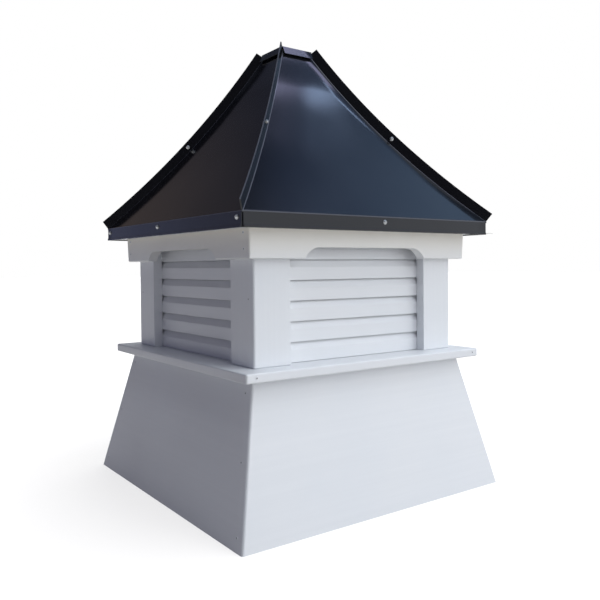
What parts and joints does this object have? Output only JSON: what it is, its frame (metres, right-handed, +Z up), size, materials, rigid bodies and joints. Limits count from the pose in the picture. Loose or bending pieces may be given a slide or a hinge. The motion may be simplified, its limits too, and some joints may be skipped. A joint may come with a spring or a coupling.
{
  "type": "barn cupola",
  "caption": "Square roof cupola with a flared white skirt, louvered sides under arched headers, and a swept black metal roof with raised hip seams.",
  "frame": {"origin": "middle of the square at ground level", "axes": "+Z up, front towards -Y, right towards +X"},
  "size_m": [0.61, 0.61, 0.9052],
  "materials": {
    "white_board": "smooth white cellular vinyl board, low sheen",
    "roof_metal": "semi-gloss black coated sheet",
    "timber": "plain softwood"
  },
  "bodies": {
    "root": {"header_back": "white_board", "header_front": "white_board", "header_left": "white_board", "header_right": "white_board", "louvers_back": "white_board", "louvers_front": "white_board", "louvers_left": "white_board", "louvers_right": "white_board", "peak_block": "timber", "post_back_left": "white_board", "post_back_right": "white_board", "post_front_left": "white_board", "post_front_right": "white_board", "roof_back": "roof_metal", "roof_cap": "roof_metal", "roof_front": "roof_metal", "roof_left": "roof_metal", "roof_right": "roof_metal", "sill_back": "white_board", "sill_front": "white_board", "sill_left": "white_board", "sill_right": "white_board", "skirt_back": "white_board", "skirt_front": "white_board", "skirt_left": "white_board", "skirt_right": "white_board", "soffit_back": "white_board", "soffit_front": "white_board", "soffit_left": "white_board", "soffit_right": "white_board"}
  },
  "joints": []
}
